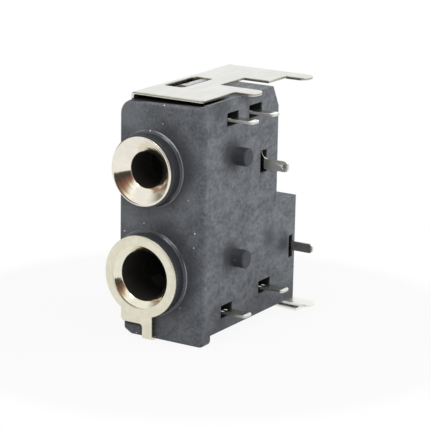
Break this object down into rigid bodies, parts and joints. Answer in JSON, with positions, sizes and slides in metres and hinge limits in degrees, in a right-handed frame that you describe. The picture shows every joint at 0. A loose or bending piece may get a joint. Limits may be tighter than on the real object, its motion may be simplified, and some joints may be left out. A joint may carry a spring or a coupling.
{
  "type": "dual audio jack socket",
  "caption": "Stacked pair of round audio jack sockets in a stepped moulded housing, with metal mouths, side pins and locating pegs for mounting on a circuit board.",
  "frame": {"origin": "on the lower socket's axis, in the outer face of the front wall", "axes": "-Y out of the sockets, +X towards the circuit board, +Z from the lower socket to the upper one"},
  "size_m": [0.0096, 0.0144, 0.0175],
  "materials": {
    "moulded_plastic": "fine matt moulding, slightly mottled",
    "nickel_plate": "bright nickel plate over brass",
    "tin_plate": "satin tin plate over brass",
    "plate_metal": "satin tin plate over steel",
    "contact_metal": "bright tin plate over spring bronze"
  },
  "bodies": {
    "root": {"housing": "moulded_plastic", "upper_mouth_ring": "nickel_plate", "lower_mouth_ring_and_strap": "tin_plate", "ground_plate": "plate_metal", "upper_sleeve_contact": "contact_metal", "upper_ring_contact": "contact_metal", "upper_tip_contact": "contact_metal", "lower_sleeve_contact": "contact_metal", "lower_ring_contact": "contact_metal", "lower_tip_contact": "contact_metal"}
  },
  "joints": []
}
